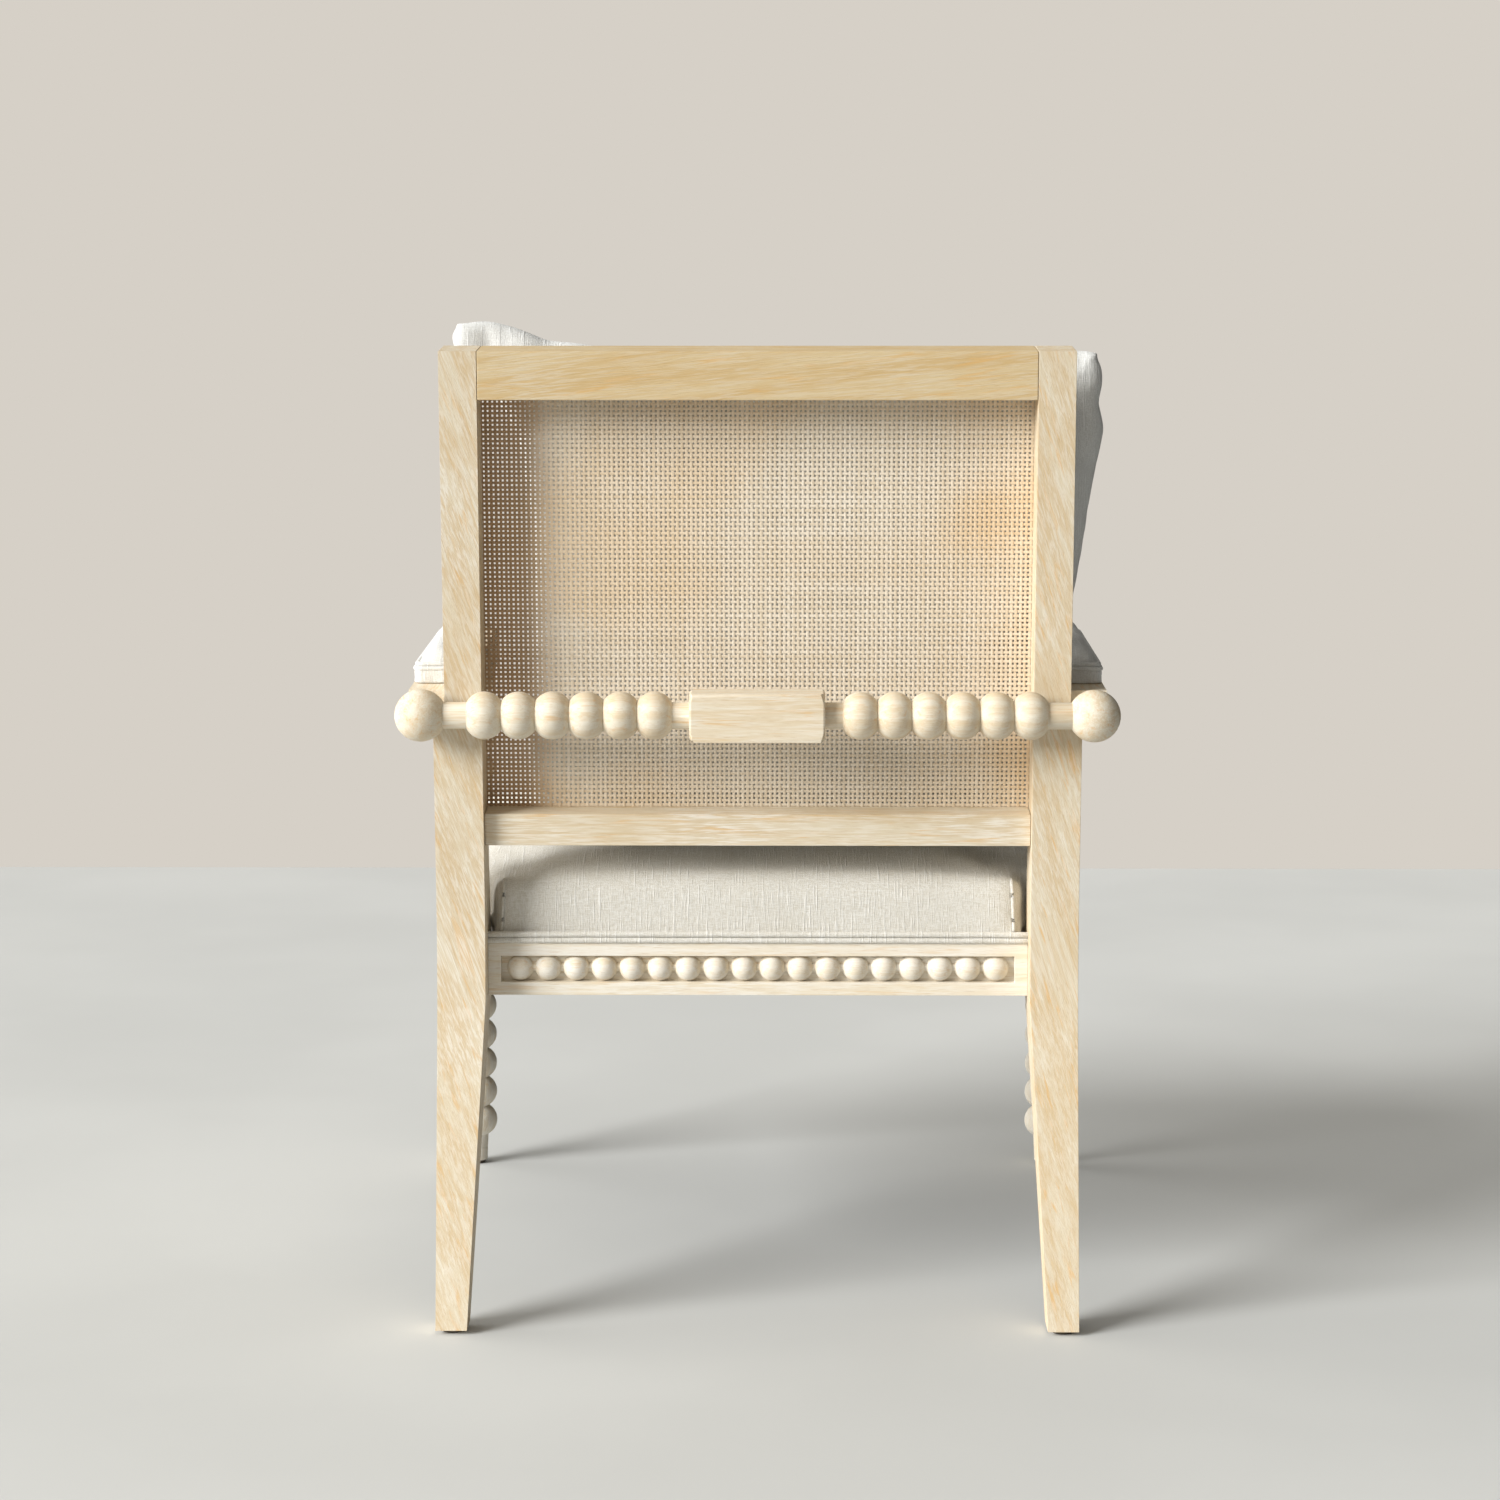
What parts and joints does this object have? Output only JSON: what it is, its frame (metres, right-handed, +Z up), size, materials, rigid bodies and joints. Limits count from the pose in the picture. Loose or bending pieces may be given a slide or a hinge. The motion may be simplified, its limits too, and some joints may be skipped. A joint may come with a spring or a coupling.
{
  "type": "armchair",
  "caption": "Open armchair in limed oak with bobbin turning, a raked cane back, an upholstered seat, padded arms and a loose back cushion.",
  "frame": {"origin": "on the floor, at the middle of the chair's width and length", "axes": "+Z up; the chair faces -Y, so +Y is its back; +X is the sitter's left"},
  "size_m": [0.6714, 0.7018, 0.9221],
  "materials": {
    "limed_oak": "oak with white lime rubbed into the grain, matt",
    "washed_oak": "oak with a paler, thicker lime wash, matt",
    "cane": "open square weave of natural cane, dull sheen",
    "beech": "plain sawn, unfinished",
    "steel": "zinc plated",
    "linen": "plain weave linen with slubs, natural",
    "cushion_cloth": "soft plain weave linen, off white",
    "filling": "foam and wadding, hidden",
    "jute": "coarse woven straps and hessian, hidden",
    "dust_cloth": "thin black cambric",
    "glide": "moulded glide on a nail"
  },
  "bodies": {
    "frame": {"rear_leg_left": "limed_oak", "rear_leg_right": "limed_oak", "front_leg_left": "washed_oak", "front_leg_right": "washed_oak", "rear_seat_rail": "washed_oak", "front_seat_rail": "washed_oak", "side_seat_rail_left": "washed_oak", "side_seat_rail_right": "washed_oak", "rear_bead_moulding": "washed_oak", "front_bead_moulding": "washed_oak", "side_bead_moulding_left": "washed_oak", "side_bead_moulding_right": "washed_oak", "back_top_rail": "limed_oak", "back_lower_rail": "limed_oak", "back_bobbin_rail": "limed_oak", "arm_left": "limed_oak", "arm_right": "limed_oak", "cane_panel": "cane", "cane_spline": "cane", "corner_blocks": "beech", "corner_block_screws": "steel", "seat_rail_dowels": "beech", "back_rail_dowels": "beech", "arm_screws": "steel", "arm_screw_plugs": "limed_oak", "arm_pad_left": "linen", "arm_pad_right": "linen", "arm_pad_board_left": "beech", "arm_pad_board_right": "beech", "arm_pad_welt_left": "linen", "arm_pad_welt_right": "linen", "arm_pad_screws": "steel", "seat_webbing": "jute", "webbing_tacks": "steel", "seat_hessian": "jute", "seat_foam": "filling", "seat_cover": "linen", "seat_welt": "linen", "dust_cover": "dust_cloth", "floor_glides": "glide"},
    "cushion": {"back_cushion_cover": "cushion_cloth", "back_cushion_filling": "filling"}
  },
  "joints": [
    {"name": "cushion_lift", "type": "slide", "parent": "frame", "child": "cushion", "axis": [0, 0.0958, 0.9954], "range_m": [0, 0.55]}
  ]
}
